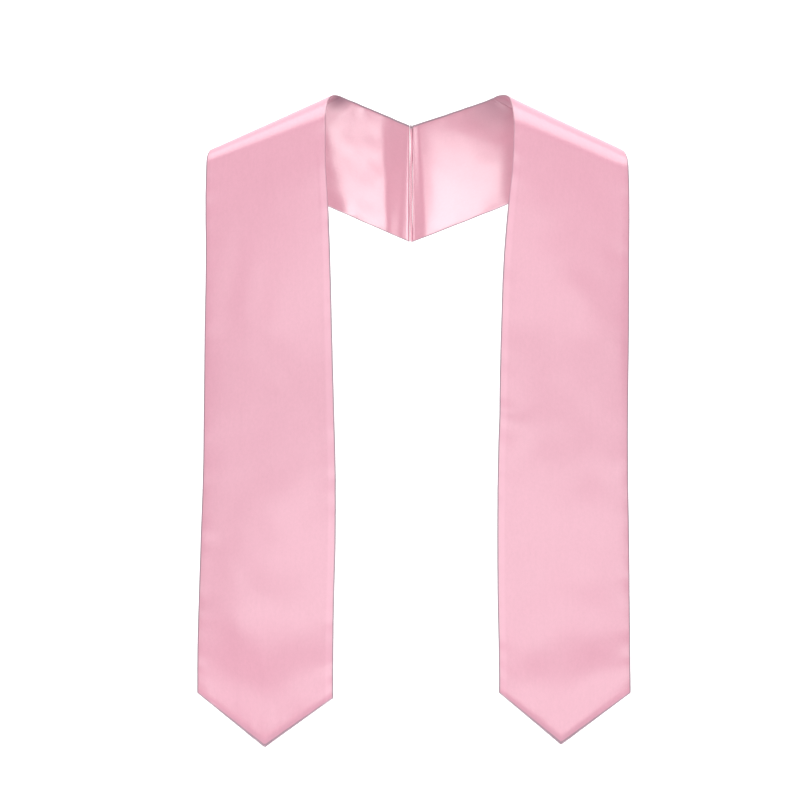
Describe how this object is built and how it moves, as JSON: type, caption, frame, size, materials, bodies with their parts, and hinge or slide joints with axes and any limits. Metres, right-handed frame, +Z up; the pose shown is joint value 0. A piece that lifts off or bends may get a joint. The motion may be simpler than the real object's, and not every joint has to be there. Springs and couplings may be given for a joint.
{
  "type": "graduation stole",
  "caption": "Satin graduation stole, worn form: pointed bands hang down the chest, fold over the shoulders and meet in a mitred seam behind the neck.",
  "frame": {"origin": "midway between the tops of the two shoulder folds at their inner edges, where the wearer's neck stands", "axes": "+Z up, -Y the way the wearer faces, +X to the wearer's left"},
  "size_m": [0.4078, 0.2239, 0.6128],
  "materials": {
    "satin_face": "satin",
    "satin_lining": "satin",
    "seam_satin": "satin"
  },
  "bodies": {
    "root": {"right_face": "satin_face", "right_lining": "satin_lining", "left_face": "satin_face", "left_lining": "satin_lining", "back_seam": "seam_satin"}
  },
  "joints": []
}
